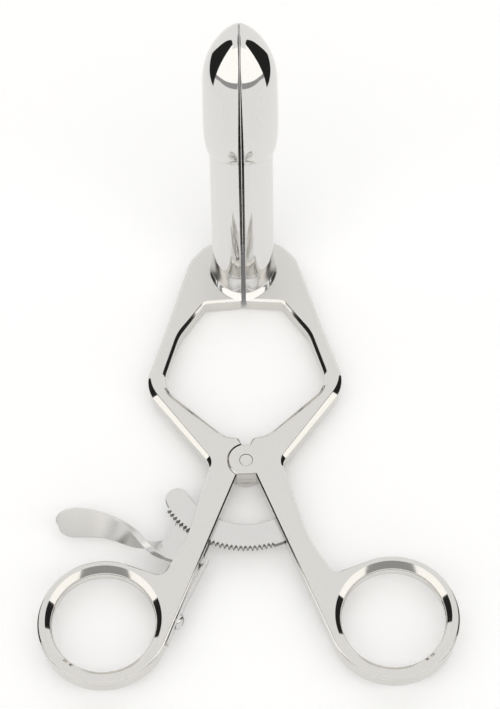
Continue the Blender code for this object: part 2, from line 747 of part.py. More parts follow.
pin_place = pin.to_3d() * MM
release_data = raised(pawl_outline(), RACK_LOW, RACK_HIGH)
release_lever = finish(release_data, "release_lever", ground_steel)
release_lever.location = pin_place
round_edges(release_lever, 0.1, 1, 80)
tab_form = lofted("tab_form", tab_sections())
tab_form.location = pin_place + Vector((0, 0, LEVER_MID * MM))
cut(release_lever, tab_form, "UNION")
cut(release_lever, cylinder("release_hole", RIVET_R + PIN_CLEAR, *pin, slot_low, slot_high, sides=28))

# Leaf spring along the left handle's inner wall: it bends away from the wall to the pawl's heel
left_corner = Vector((-joint_corner.x, joint_corner.y, LEVER_MID))
left_run = Vector((-wall_run.x, wall_run.y, 0))
left_off = Vector((wall_out.x, -wall_out.y, 0))
pin_along = (Vector((-pin.x, pin.y)) - joint_corner).dot(wall_run)


def beside_wall(past_pin, away, high=0.0):
    """A point by the left handle's inner wall, from how far it lies past the release pin."""
    return left_corner + left_run * (pin_along + past_pin) + left_off * away + Vector((0, 0, high))


spring_stations = [
    (1.0, 0.0, 0.62),
    (0.845, 0.0, 1.0),
    (0.65, 0.0, 1.0),
    (0.52, 0.1, 1.0),
    (0.39, 0.37, 1.0),
    (0.265, 0.7, 1.0),
    (0.135, 1.0, 1.0),
    (0.058, 1.17, 0.9),
    (-0.006, 1.3, 0.7),
]
spring_data = bmesh.new()
strip = []
for share, away, high in spring_stations:
    for z in (-SPRING_HIGH / 2 * high, SPRING_HIGH / 2 * high):
        point = beside_wall(SPRING_LONG * share, SPRING_OFF_WALL + away, z)
        strip.append(spring_data.verts.new(point * MM))
for i in range(0, len(strip) - 2, 2):
    spring_data.faces.new((strip[i], strip[i + 1], strip[i + 3], strip[i + 2]))
spring_mesh = bpy.data.meshes.new("leaf_spring")
spring_data.to_mesh(spring_mesh)
spring_data.free()
leaf_spring = add_object("leaf_spring", spring_mesh, spring_steel)
thicken = leaf_spring.modifiers.new("thickness", "SOLIDIFY")
thicken.thickness = SPRING_THICK * MM
thicken.offset = -1

# Screw through the spring into the handle: slotted head, turned about its own axis
head_low = SPRING_OFF_WALL + SPRING_THICK + 0.1
screw_turn = left_off.to_track_quat("Z", "Y").to_matrix()
screw_place = Matrix.Translation(beside_wall(SPRING_SCREW_ALONG, 0) * MM) @ screw_turn.to_4x4()
leaf_spring_screw = turned(
    "leaf_spring_screw",
    [
        (0, head_low + SPRING_HEAD_THICK),
        (SPRING_HEAD_R * 0.55, head_low + SPRING_HEAD_THICK - 0.08),
        (SPRING_HEAD_R * 0.86, head_low + SPRING_HEAD_THICK * 0.68),
        (SPRING_HEAD_R, head_low + SPRING_HEAD_THICK * 0.36),
        (SPRING_HEAD_R, head_low),
        (SPRING_SCREW_R, head_low),
        (SPRING_SCREW_R, -SPRING_SCREW_DEEP),
        (0, -SPRING_SCREW_DEEP),
    ],
    32,
    spring_steel,
)
leaf_spring_screw.matrix_world = screw_place
slot_floor = head_low + SPRING_HEAD_THICK * 0.6
slot_turn = screw_turn @ Matrix.Rotation(math.radians(60), 3, "Z")
slot_centre = beside_wall(SPRING_SCREW_ALONG, slot_floor + 1)
cut(leaf_spring_screw, box("screw_slot", (SPRING_HEAD_R * 3, SCREW_SLOT_WIDE, 2), slot_centre, slot_turn))
bore_r = SPRING_SCREW_R + 0.15
bore_deep = SPRING_SCREW_DEEP + 0.3
screw_bore = cylinder("screw_bore", bore_r, 0, 0, -bore_deep, 2)
screw_bore.matrix_world = screw_place @ Matrix.Translation((0, 0, (2 - bore_deep) / 2 * MM))
cut(left_lever, screw_bore)
cut(leaf_spring, screw_bore)
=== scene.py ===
import math

import bmesh
import bpy
from mathutils import Matrix, Vector


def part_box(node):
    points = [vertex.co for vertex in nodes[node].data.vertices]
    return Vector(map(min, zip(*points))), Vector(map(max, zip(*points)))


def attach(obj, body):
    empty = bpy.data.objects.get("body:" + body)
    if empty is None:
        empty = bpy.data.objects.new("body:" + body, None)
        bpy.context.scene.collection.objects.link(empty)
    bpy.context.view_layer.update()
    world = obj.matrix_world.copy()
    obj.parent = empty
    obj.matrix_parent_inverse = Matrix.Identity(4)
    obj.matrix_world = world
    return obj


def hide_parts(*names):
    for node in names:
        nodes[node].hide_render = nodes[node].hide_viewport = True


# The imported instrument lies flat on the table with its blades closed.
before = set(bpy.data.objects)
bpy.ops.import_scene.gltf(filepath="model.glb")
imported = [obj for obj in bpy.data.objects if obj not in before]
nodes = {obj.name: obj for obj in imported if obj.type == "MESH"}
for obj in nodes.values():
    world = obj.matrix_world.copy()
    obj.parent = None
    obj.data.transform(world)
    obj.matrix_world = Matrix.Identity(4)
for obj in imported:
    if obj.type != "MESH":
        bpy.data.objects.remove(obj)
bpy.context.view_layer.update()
scene = bpy.context.scene
scene.view_settings.view_transform = "Standard"


# Camera: a long lens on a copy stand above the rings, looking down at the levers about sixty degrees
# from level. It is leant until the main pivot falls on the pixel where the photograph has it.
FRAME_WIDE = 500.0
FRAME_HIGH = 709.0
PIVOT = Vector((0, 0, 0.0096))
PIVOT_PIXEL = (246.1, 460.0)
CAMERA_RISE = math.radians(61.0)
CAMERA_ROLL = math.radians(-0.95)
CAMERA_DISTANCE = 0.750
FOCAL_PIXELS = 2287.0
SENSOR_HIGH = 24.0
forward = Vector((0, math.cos(CAMERA_RISE), -math.sin(CAMERA_RISE)))
level_right = Vector((1, 0, 0))
level_up = level_right.cross(forward)
right = level_right * math.cos(CAMERA_ROLL) + level_up * math.sin(CAMERA_ROLL)
up = level_up * math.cos(CAMERA_ROLL) - level_right * math.sin(CAMERA_ROLL)
aside = (PIVOT_PIXEL[0] - FRAME_WIDE / 2) / FOCAL_PIXELS
above = (FRAME_HIGH / 2 - PIVOT_PIXEL[1]) / FOCAL_PIXELS
to_pivot = forward + right * aside + up * above
stand = PIVOT - to_pivot * (CAMERA_DISTANCE * forward.z / to_pivot.z)
lens = bpy.data.cameras.new("copy_stand")
lens.sensor_fit = "VERTICAL"
lens.sensor_height = SENSOR_HIGH
lens.lens = FOCAL_PIXELS * SENSOR_HIGH / FRAME_HIGH
lens.clip_start = 0.01
lens.clip_end = 20.0
lens.dof.use_dof = False
camera = bpy.data.objects.new("copy_stand", lens)
camera.matrix_world = Matrix.Translation(stand) @ Matrix((right, up, -forward)).transposed().to_4x4()
scene.collection.objects.link(camera)
scene.camera = camera


# Light tent: the instrument stands in a box tent a metre wide. Its front and the near ends of its sides
# are lit diffusers, and the roof is dimmer. Behind them, from just before the joint, the sides are dark.
TENT_HALF = 0.52
TENT_FRONT = -0.2
TENT_BACK = 0.75
TENT_ROOF = 1.15
OPEN_FROM = -0.03
OPENING = ((-0.03, -0.4), (0.52, -0.4), (0.41, -0.05), (0.34, 0.15), (0.19, 0.88), (0.06, 1.1), (-0.03, 1.15))
FRONT_FOOT = 0.186
SIDE_FOOT = 0.115
HEM = 0.055
BELOW_TABLE = -0.01
CREAM = (1.0, 0.985, 0.955)
WHITE = (1.0, 1.0, 1.0)
DIFFUSER_LIGHT = 1.35
HEM_LIGHT = 0.36
APRON_LIGHT = 0.97
ROOF_LIGHT = 0.98
OPENING_LIGHT = 0.012


def tent_cloth(name, corners, colour, strength):
    """One flat cloth of the tent, through its corners."""
    mesh = bpy.data.meshes.new(name)
    mesh.from_pydata(corners, [], [tuple(range(len(corners)))])
    cloth = bpy.data.objects.new(name, mesh)
    scene.collection.objects.link(cloth)
    cloth.visible_camera = False
    material = bpy.data.materials.new(name)
    material.use_nodes = True
    shader = material.node_tree.nodes["Principled BSDF"]
    shader.inputs["Base Color"].default_value = (0.01, 0.01, 0.01, 1)
    shader.inputs["Roughness"].default_value = 1
    shader.inputs["Specular IOR Level"].default_value = 0
    shader.inputs["Emission Color"].default_value = (*colour, 1)
    shader.inputs["Emission Strength"].default_value = strength
    mesh.materials.append(material)


def upright(name, start, end, low, high, colour, strength):
    """A cloth that hangs between two points of the floor plan. Low and high give a level at each of them."""
    corners = [(*start, low[0]), (*end, low[1]), (*end, high[1]), (*start, high[0])]
    tent_cloth(name, corners, colour, strength)


front_left = (-TENT_HALF, TENT_FRONT)
front_right = (TENT_HALF, TENT_FRONT)
left_edge = (-TENT_HALF, OPEN_FROM)
right_edge = (TENT_HALF, OPEN_FROM)
top = (TENT_ROOF, TENT_ROOF)
ground = (BELOW_TABLE, BELOW_TABLE)
for name, start, end, end_foot in (
    ("front", front_left, front_right, FRONT_FOOT),
    ("left", front_left, left_edge, SIDE_FOOT),
    ("right", front_right, right_edge, SIDE_FOOT),
):
    foot = (FRONT_FOOT, end_foot)
    hem = (FRONT_FOOT - HEM, end_foot - HEM)
    upright(name + "_diffuser", start, end, foot, top, CREAM, DIFFUSER_LIGHT)
    upright(name + "_hem", start, end, hem, foot, WHITE, HEM_LIGHT)
    upright(name + "_apron", start, end, ground, hem, WHITE, APRON_LIGHT)
for name, x in (("left_opening", -TENT_HALF), ("right_opening", TENT_HALF)):
    tent_cloth(name, [(x, y, z) for y, z in OPENING], WHITE, OPENING_LIGHT)
roof = [(-TENT_HALF, TENT_FRONT), (TENT_HALF, TENT_FRONT), (TENT_HALF, TENT_BACK), (-TENT_HALF, TENT_BACK)]
tent_cloth("roof_diffuser", [(*corner, TENT_ROOF) for corner in roof], WHITE, ROOF_LIGHT)


# Table: a matt white board inside the tent. The camera and the polished steel see it as clean white
# paper, and it keeps the soft shadow that the instrument throws.
TABLE_TOP = -0.0002
TABLE_LEFT = -0.3
TABLE_RIGHT = 0.24
PAPER_WHITE = 0.97
PAPER_LIFT = 0.11
table_mesh = bpy.data.meshes.new("white_table")
table_corners = [
    (TABLE_LEFT, TENT_FRONT, TABLE_TOP),
    (TABLE_RIGHT, TENT_FRONT, TABLE_TOP),
    (TABLE_RIGHT, TENT_BACK, TABLE_TOP),
    (TABLE_LEFT, TENT_BACK, TABLE_TOP),
]
table_mesh.from_pydata(table_corners, [], [(0, 1, 2, 3)])
table = bpy.data.objects.new("white_table", table_mesh)
scene.collection.objects.link(table)
paper = bpy.data.materials.new("white_paper")
paper.use_nodes = True
paper_nodes = paper.node_tree.nodes
paper_links = paper.node_tree.links
paper_shader = paper_nodes["Principled BSDF"]
paper_shader.inputs["Base Color"].default_value = (PAPER_WHITE, PAPER_WHITE, PAPER_WHITE, 1)
paper_shader.inputs["Roughness"].default_value = 1
paper_shader.inputs["Specular IOR Level"].default_value = 0
paper_shader.inputs["Emission Color"].default_value = (1, 1, 1, 1)
ray = paper_nodes.new("ShaderNodeLightPath")
seen = paper_nodes.new("ShaderNodeMath")
seen.operation = "MAXIMUM"
lifted = paper_nodes.new("ShaderNodeMath")
lifted.operation = "MULTIPLY"
lifted.inputs[1].default_value = PAPER_LIFT
paper_links.new(ray.outputs["Is Camera Ray"], seen.inputs[0])
paper_links.new(ray.outputs["Is Glossy Ray"], seen.inputs[1])
paper_links.new(seen.outputs[0], lifted.inputs[0])
paper_links.new(lifted.outputs[0], paper_shader.inputs["Emission Strength"])
table_mesh.materials.append(paper)

world = bpy.data.worlds.new("white_room")
scene.world = world
world.use_nodes = True
world.node_tree.nodes["Background"].inputs["Color"].default_value = (1, 1, 1, 1)
world.node_tree.nodes["Background"].inputs["Strength"].default_value = 1.0


# Stainless steel, as the whole instrument is made of it. Faces that lie level are left satin from the
# belt, and everything that turns away from level is buffed bright, with faint clouds and grain.
LEVEL_SPAN = (0.93, 0.985)
PAINTED_WALL_SPAN = (0.15, 0.6)
CLOUD_SCALE = 70
CLOUD_DETAIL = 3
GRAIN_DETAIL = 2
ROUGHNESS_SPREAD = (0.85, 1.15)
TONE_SPREAD = (0.97, 1.03)


def steel_finish_group():
    """The steel's colour, roughness and fine relief, from its tone and the way that each face lies. Steep
    walls get painted shade, a darker colour in place of the dark that they mirror.
    """
    group = bpy.data.node_groups.new("steel_finish", "ShaderNodeTree")
    face = group.interface
    for name, kind, value in (
        ("Tone", "NodeSocketColor", (0.72, 0.715, 0.7, 1)),
        ("Satin", "NodeSocketFloat", 0.3),
        ("Polish", "NodeSocketFloat", 0.08),
        ("Grain Size", "NodeSocketFloat", 1500.0),
        ("Painted Wall Shade", "NodeSocketFloat", 1.0),
    ):
        face.new_socket(name, in_out="INPUT", socket_type=kind).default_value = value
    face.new_socket("Color", in_out="OUTPUT", socket_type="NodeSocketColor")
    face.new_socket("Roughness", in_out="OUTPUT", socket_type="NodeSocketFloat")
    face.new_socket("Height", in_out="OUTPUT", socket_type="NodeSocketFloat")
    add = group.nodes.new
    link = group.links.new
    given = add("NodeGroupInput")
    result = add("NodeGroupOutput")
    geometry = add("ShaderNodeNewGeometry")
    split = add("ShaderNodeSeparateXYZ")
    link(geometry.outputs["Normal"], split.inputs[0])
    level = add("ShaderNodeMath")
    level.operation = "ABSOLUTE"
    link(split.outputs["Z"], level.inputs[0])
    flat = add("ShaderNodeMapRange")
    flat.interpolation_type = "SMOOTHSTEP"
    flat.inputs["From Min"].default_value, flat.inputs["From Max"].default_value = LEVEL_SPAN
    link(level.outputs[0], flat.inputs["Value"])
    place = add("ShaderNodeTexCoord")
    clouds = add("ShaderNodeTexNoise")
    clouds.inputs["Scale"].default_value = CLOUD_SCALE
    clouds.inputs["Detail"].default_value = CLOUD_DETAIL
    link(place.outputs["Object"], clouds.inputs["Vector"])
    grain = add("ShaderNodeTexNoise")
    grain.inputs["Detail"].default_value = GRAIN_DETAIL
    link(place.outputs["Object"], grain.inputs["Vector"])
    link(given.outputs["Grain Size"], grain.inputs["Scale"])
    rough = add("ShaderNodeMix")
    link(flat.outputs["Result"], rough.inputs["Factor"])
    link(given.outputs["Polish"], rough.inputs["A"])
    link(given.outputs["Satin"], rough.inputs["B"])
    uneven = add("ShaderNodeMapRange")
    uneven.inputs["To Min"].default_value, uneven.inputs["To Max"].default_value = ROUGHNESS_SPREAD
    link(clouds.outputs["Fac"], uneven.inputs["Value"])
    roughness = add("ShaderNodeMath")
    roughness.operation = "MULTIPLY"
    link(rough.outputs["Result"], roughness.inputs[0])
    link(uneven.outputs["Result"], roughness.inputs[1])
    shade = add("ShaderNodeMapRange")
    shade.inputs["To Min"].default_value, shade.inputs["To Max"].default_value = TONE_SPREAD
    link(grain.outputs["Fac"], shade.inputs["Value"])
    # Painted shade: the colour of steep walls is darkened by the wall shade factor, in place of the dark that
    # they mirror.
    painted_wall_mask = add("ShaderNodeMapRange")
    painted_wall_mask.interpolation_type = "SMOOTHSTEP"
    painted_wall_mask.inputs["From Min"].default_value, painted_wall_mask.inputs["From Max"].default_value = PAINTED_WALL_SPAN
    link(level.outputs[0], painted_wall_mask.inputs["Value"])
    link(given.outputs["Painted Wall Shade"], painted_wall_mask.inputs["To Min"])
    grain_and_painted_shade = add("ShaderNodeMath")
    grain_and_painted_shade.operation = "MULTIPLY"
    link(shade.outputs["Result"], grain_and_painted_shade.inputs[0])
    link(painted_wall_mask.outputs["Result"], grain_and_painted_shade.inputs[1])
    tinted = add("ShaderNodeVectorMath")
    tinted.operation = "SCALE"
    link(given.outputs["Tone"], tinted.inputs[0])
    link(grain_and_painted_shade.outputs[0], tinted.inputs["Scale"])
    height = add("ShaderNodeMath")
    height.operation = "MULTIPLY_ADD"
    link(grain.outputs["Fac"], height.inputs[0])
    link(flat.outputs["Result"], height.inputs[1])
    link(clouds.outputs["Fac"], height.inputs[2])
    link(tinted.outputs[0], result.inputs["Color"])
    link(roughness.outputs[0], result.inputs["Roughness"])
    link(height.outputs[0], result.inputs["Height"])
    return group


steel_finish = steel_finish_group()


def steel(name, tone, satin, polish, ripple=0.00002, painted_wall_shade=1.0):
    """One piece's steel: satin is the roughness of its level faces, and polish that of all the others."""
    material = bpy.data.materials.new(name)
    material.use_nodes = True
    tree = material.node_tree
    shader = tree.nodes["Principled BSDF"]
    shader.inputs["Metallic"].default_value = 1
    finish = tree.nodes.new("ShaderNodeGroup")
    finish.node_tree = steel_finish
    finish.inputs["Tone"].default_value = (*tone, 1)
    finish.inputs["Satin"].default_value = satin
    finish.inputs["Polish"].default_value = polish
    # Painted shade: steep walls keep only this share of the tone.
    finish.inputs["Painted Wall Shade"].default_value = painted_wall_shade
    tree.links.new(finish.outputs["Color"], shader.inputs["Base Color"])
    tree.links.new(finish.outputs["Roughness"], shader.inputs["Roughness"])
    bump = tree.nodes.new("ShaderNodeBump")
    bump.inputs["Distance"].default_value = ripple
    bump.inputs["Strength"].default_value = 1
    tree.links.new(finish.outputs["Height"], bump.inputs["Height"])
    tree.links.new(bump.outputs["Normal"], shader.inputs["Normal"])
    return material


# Levers: two drop-forged steel arms on one lap joint, which turn without crossing. Each has a foot
# plate and a finger ring. The edges are ground off flat, the arm is set down toward the plate, and the
# ring's hole is flared by hand.
MM = 0.001
LEVER_LOW = 3.2
LEVER_HIGH = 9.6
FOOT_DROP = 3.2
DROP_FROM = 24.0
DROP_TO = 57.0
PLATE_FRONT = 60.9
PLATE_BACK = 84.6
PLATE_HALF = 11.8
PLATE_TAPER = 0.6
PLATE_ROUND = 9
SPLIT_HALF = 0.6
SPLIT_ROUND = 1.2

# Rounded corners of the outline: x, y and radius, in mm
SHOULDER = (18.0, 76.9, 9)
ELBOW = (32.9, 27.1, 12)
WAIST = (11.5, -0.8, 5)
NOOK = (12.9, 60.1, 2)
WINDOW_SIDE = (21.4, 47.9, 16)
WINDOW_ELBOW = (27.2, 27.2, 10)
WINDOW_FRONT = (7.2, 9.6, 8)
NOTCH = (2.5, 8.5, 1.25)

HANDLE_WIDE = 6.7
HANDLE_BEND = 25.8
HANDLE_ROUND = 30
RING_CENTRE = Vector((44.8, -54.6))
RING_OUTER = 20.4
RING_INNER = 16.3
RING_FLARE = 1.75
RING_FLARE_SLOPE = 0.7
RING_FLARE_LEAN = 0.4
LAP_RADIUS = 5.9
LAP_GAP = 0.2
JOINT_CORNER = Vector((3.0, -5.05))
LAP_ENDS_AT = 77.5
CROTCH_OUT = 3.1
CROTCH_AT = 140.6
CROTCH_ROUND = 3
RING_MEETS_AT = 108.0

to_ring = RING_CENTRE - JOINT_CORNER
wall_turn = math.atan2(to_ring.y, to_ring.x) - math.asin(RING_OUTER / to_ring.length)
wall_run = Vector((math.cos(wall_turn), math.sin(wall_turn)))
wall_out = Vector((-wall_run.y, wall_run.x))
touch = wall_run * math.sqrt(to_ring.length_squared - RING_OUTER**2) - to_ring
touch_at = math.degrees(math.atan2(touch.y, touch.x))


def ease(t):
    """From 0 to 1, slow at both ends."""
    t = min(1.0, max(0.0, t))
    return t * t * (3 - 2 * t)


def polar(radius, degrees, centre=(0.0, 0.0)):
    turn = math.radians(degrees)
    return Vector((centre[0] + radius * math.cos(turn), centre[1] + radius * math.sin(turn)))


def arc(centre, radius, start, end, step=3.0):
    count = max(2, math.ceil(abs(end - start) / step))
    return [polar(radius, start + (end - start) * i / count, centre) for i in range(count + 1)]


def rounded(corners, step=4.0):
    """The closed outline through these corners (x, y, radius), each rounded to its radius."""
    outline = []
    for i, (x, y, radius) in enumerate(corners):
        here = Vector((x, y))
        if radius <= 0:
            outline.append(here)
            continue
        before = Vector(corners[i - 1][:2]) - here
        after = Vector(corners[(i + 1) % len(corners)][:2]) - here
        room = min(before.length, after.length) * 0.98
        before.normalize()
        after.normalize()
        half = before.angle(after) / 2
        back = min(radius / math.tan(half), room)
        radius = back * math.tan(half)
        middle = here + (before + after).normalized() * (radius / math.sin(half))
        start = here + before * back - middle
        end = here + after * back - middle
        first = math.degrees(math.atan2(start.y, start.x))
        turn = math.degrees(math.atan2(start.x * end.y - start.y * end.x, start.dot(end)))
        outline += arc(middle, radius, first, first + turn, step)
    return outline


def lever_outline():
    """The right lever from above, in mm: plate, outer side, handle, ring, lap, and back by the window."""
    crotch = polar(RING_OUTER + CROTCH_OUT, CROTCH_AT, RING_CENTRE)
    bend = JOINT_CORNER + wall_run * HANDLE_BEND + wall_out * HANDLE_WIDE
    ring = arc(RING_CENTRE, RING_OUTER, RING_MEETS_AT, touch_at)
    lap_from = 180 - math.degrees(math.asin(JOINT_CORNER.y / LAP_RADIUS))
    lap = [JOINT_CORNER] + arc((0, 0), LAP_RADIUS, lap_from, LAP_ENDS_AT)
    return rounded(
        [
            (SPLIT_HALF, PLATE_FRONT, SPLIT_ROUND),
            (SPLIT_HALF, PLATE_BACK, SPLIT_ROUND),
            (PLATE_HALF, PLATE_BACK - PLATE_TAPER, PLATE_ROUND),
            SHOULDER,
            ELBOW,
            WAIST,
            (*bend, HANDLE_ROUND),
            (*crotch, CROTCH_ROUND),
            *[(*point, 0) for point in ring + lap],
            NOTCH,
            WINDOW_FRONT,
            WINDOW_ELBOW,
            WINDOW_SIDE,
            NOOK,
        ]
    )


# How wide the edge is ground, in mm: widest under the arms, next round the window, fine on the handles
UNDER_ARM = 1.9
WINDOW_EDGE = 1.2
PLATE_EDGE = 0.9
HANDLE_EDGE = 0.45
NOTCH_EDGE = 1.15

GRIND_SLOPE = 0.84
SOFT_BORDER = 0.22

# Rows across the ground flat, from the level face to the wall. The first two numbers say how far in and
# down its border lies, in flat widths. The last two shift the row in and down from there, in soft borders.
SOFT_PROFILE = (
    (1, 0, 1, 0),
    (1, 0, 0.35, 0.08),
    (1, 0, -0.2, 0.3),
    (1, 0, -0.7, 0.7),
    (0, 1, 0.7, -0.7),
    (0, 1, 0.3, -0.2),
    (0, 1, 0.08, 0.35),
    (0, 1, 0, 1),
)


def plain_edge(y):
    """The edge's width where nothing widens it: fine on the handle, wider toward the plate."""
    return HANDLE_EDGE + (PLATE_EDGE - HANDLE_EDGE) * ease((y - LAP_RADIUS) / 12)


def edge_width(x, y, facing):
    """The upper edge's width at a point of the outline that faces that way."""
    along_arm = Vector((ELBOW[0] - WAIST[0], ELBOW[1] - WAIST[1])).normalized()
    below = facing.dot(Vector((along_arm.y, -along_arm.x)))
    under = ease((below - 0.5) / 0.5) * ease((y - WAIST[1] + 4) / 5)
    to_window = Vector((-x, (PLATE_FRONT + WINDOW_FRONT[1]) / 2 - y)).normalized()
    inward = ease((facing.dot(to_window) - 0.2) / 0.4)
    window = inward * ease((y - WINDOW_FRONT[1] + 3) / 6) * ease((NOOK[1] - 1 - y) / 8)
    plain = plain_edge(y)
    by_notch = ease((facing.y - 0.3) / 0.3) * ease((17 - x) / 7) * ease((x - 1) / 2)
    by_notch = by_notch * ease((18 - y) / 3) * ease((y - 2) / 2)
    plain = max(plain, NOTCH_EDGE * by_notch)
    middle = math.sin(math.pi * min(1, max(0, (ELBOW[1] + 4 - y) / (ELBOW[1] + 7))))
    under_arm = UNDER_ARM * (0.6 + 0.5 * middle)
    return max(plain, plain + (under_arm - plain) * under, plain + (WINDOW_EDGE - plain) * window)


def new_object(name, shape):
    """Turns edited mesh data into an object whose faces point out."""
    bmesh.ops.recalc_face_normals(shape, faces=shape.faces)
    mesh = bpy.data.meshes.new(name)
    shape.to_mesh(mesh)
    shape.free()
    obj = bpy.data.objects.new(name, mesh)
    scene.collection.objects.link(obj)
    return obj


def settled(obj):
    """The object's mesh with its modifiers worked in. The object itself goes."""
    bpy.context.view_layer.update()
    mesh = bpy.data.meshes.new_from_object(obj.evaluated_get(bpy.context.evaluated_depsgraph_get()))
    bpy.data.objects.remove(obj, do_unlink=True)
    return mesh


def slab(outline, low, high):
    """A flat plate with this outline, between two levels."""
    shape = bmesh.new()
    face = shape.faces.new([shape.verts.new((x * MM, y * MM, low * MM)) for x, y in outline])
    lifted = bmesh.ops.extrude_face_region(shape, geom=[face], use_keep_orig=True)
    top = [item for item in lifted["geom"] if isinstance(item, bmesh.types.BMVert)]
    bmesh.ops.translate(shape, verts=top, vec=(0, 0, (high - low) * MM))
    return shape


def ground_blank(outline, low, high, top_width, foot_width):
    """A slab with a flat ground along each edge. Both borders of the flat are softened by the buff."""
    count = len(outline)
    area = sum(outline[i - 1].cross(outline[i]) for i in range(count))
    if area < 0:
        outline = outline[::-1]
    facing = []
    inset = []
    for i, here in enumerate(outline):
        before = (here - outline[i - 1]).normalized()
        after = (outline[(i + 1) % count] - here).normalized()
        out = Vector((before.y + after.y, -before.x - after.x)).normalized()
        facing.append(out)
        inset.append(-out / max(0.5, out.dot(Vector((after.y, -after.x)))))
    lengths = [(outline[(i + 1) % count] - outline[i]).length for i in range(count)]

    def evened(values, reach=3.0):
        """Each value averaged with those within reach of it along the outline."""
        result = []
        for i in range(count):
            total = values[i]
            weight = 1.0
            for way in (1, -1):
                gone = 0.0
                j = i
                while gone < reach:
                    gone += lengths[j if way > 0 else j - 1]
                    j = (j + way) % count
                    share = max(0.0, 1 - gone / reach)
                    total += values[j] * share
                    weight += share
            result.append(total / weight)
        return result

    rows = []
    for level, turn, width in ((low, 1, foot_width), (high, -1, top_width)):
        widths = evened([width(*point, facing[i]) for i, point in enumerate(outline)])
        band = []
        for soft in SOFT_PROFILE:
            row = []
            for i, point in enumerate(outline):
                wide = widths[i]
                blur = min(SOFT_BORDER, 0.3 * wide)
                corner_in, corner_down, shift_in, shift_down = soft
                place = point + inset[i] * (corner_in * wide + shift_in * blur)
                deep = corner_down * wide + shift_down * blur
                row.append((*place, level + turn * GRIND_SLOPE * deep))
            band.append(row)
        rows += band if turn > 0 else band[::-1]
    shape = bmesh.new()
    loops = [[shape.verts.new(Vector(point) * MM) for point in row] for row in rows]
    for under, over in zip(loops, loops[1:]):
        for i in range(count):
            j = (i + 1) % count
            shape.faces.new((under[i], under[j], over[j], over[i]))
    shape.faces.new(loops[0][::-1])
    shape.faces.new(loops[-1])
    return shape


def forged(name, side):
    """One lever's blank, with its arm set down toward the plate. Side is -1 for the left one."""
    outline = lever_outline()
    shape = ground_blank(outline, LEVER_LOW, LEVER_HIGH, edge_width, lambda x, y, facing: plain_edge(y))
    stations = 22
    for i in range(stations + 1):
        y = DROP_FROM + (DROP_TO - DROP_FROM) * i / stations
        everything = shape.verts[:] + shape.edges[:] + shape.faces[:]
        bmesh.ops.bisect_plane(shape, geom=everything, dist=1e-7, plane_co=(0, y * MM, 0), plane_no=(0, 1, 0))
    for vert in shape.verts:
        vert.co.z -= FOOT_DROP * MM * ease((vert.co.y / MM - DROP_FROM) / (DROP_TO - DROP_FROM))
        vert.co.x *= side
    return new_object(name, shape)


def lathe(name, profile, sides, centre=(0.0, 0.0)):
    """A (radius, height) profile turned about an upright axis. It starts and ends on the axis."""
    shape = bmesh.new()
    rings = []
    for radius, height in profile:
        if radius == 0:
            rings.append([shape.verts.new((centre[0] * MM, centre[1] * MM, height * MM))])
            continue
        turned = [polar(radius, 360 * i / sides, centre) for i in range(sides)]
        rings.append([shape.verts.new((x * MM, y * MM, height * MM)) for x, y in turned])
    for low, high in zip(rings, rings[1:]):
        for i in range(sides):
            j = (i + 1) % sides
            corners = [low[i % len(low)], low[j % len(low)], high[j % len(high)], high[i % len(high)]]
            shape.faces.new(list(dict.fromkeys(corners)))
    return new_object(name, shape)


def drum(name, radius, centre, low, high, sides=96):
    return lathe(name, [(0, low), (radius, low), (radius, high), (0, high)], sides, centre)


def cut_away(obj, cutters):
    """The object with the cutters taken out of it. The cutters go."""
    for cutter in cutters:
        boolean = obj.modifiers.new(cutter.name, "BOOLEAN")
        boolean.operation = "DIFFERENCE"
        boolean.solver = "EXACT"
        boolean.object = cutter
        boolean.use_hole_tolerant = True
    name = obj.name
    mesh = settled(obj)
    for cutter in cutters:
        bpy.data.objects.remove(cutter, do_unlink=True)
    piece = bpy.data.objects.new(name, mesh)
    scene.collection.objects.link(piece)
    return piece


def sector(name, inner, outer, start, end, low, high):
    """A slot about the main pivot. Its angles are taken from straight down the handles."""
    outline = arc((0, 0), inner, start - 90, end - 90) + arc((0, 0), outer, end - 90, start - 90)
    return new_object(name, slab(outline, low, high))


RACK_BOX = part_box("ratchet_rack")
RACK_LOW = RACK_BOX[0][2] / MM
RACK_HIGH = RACK_BOX[1][2] / MM
RACK_TIPS = 30.0
RACK_INSIDE = 21.6
SLOT_GAP = 0.3
LEFT_SLOT_INSIDE = 0.4
LEFT_SLOT_OUTSIDE = 1.0
LEFT_SLOT_ENDS = (14.0, -34.0)
ROOT_SLOT_BEFORE_WALL = 10.0
ROOT_SLOT_END = 34.8
wall_at = 90 + math.degrees(wall_turn)
PIN_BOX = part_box("release_pin")
PIN_PLACE = Vector(((PIN_BOX[0][0] + PIN_BOX[1][0]) / 2, (PIN_BOX[0][1] + PIN_BOX[1][1]) / 2)) / MM
PAWL_ROOM_MIDDLE = (-2.2, 1.2)
PAWL_ROOM_LEVEL = 6.4
PAWL_ROOM_WIDE = 21
PAWL_ROOM_LONG = 11.8
BLADE_RISE = math.radians(65.0)
NECK_RADIUS = 9.95
FOOT_Y = 73.1
FOOT_GAP = 0.2
FOOT_HOLE = NECK_RADIUS + FOOT_GAP
FOOT_HOLE_LONG = NECK_RADIUS / math.sin(BLADE_RISE) + FOOT_GAP
FLARE_PROFILE = ((-0.3, 0), (0.8, 0), (0.9, 0.02), (1, 0.07), (1.13, 0.16), (1.3, 0.2))


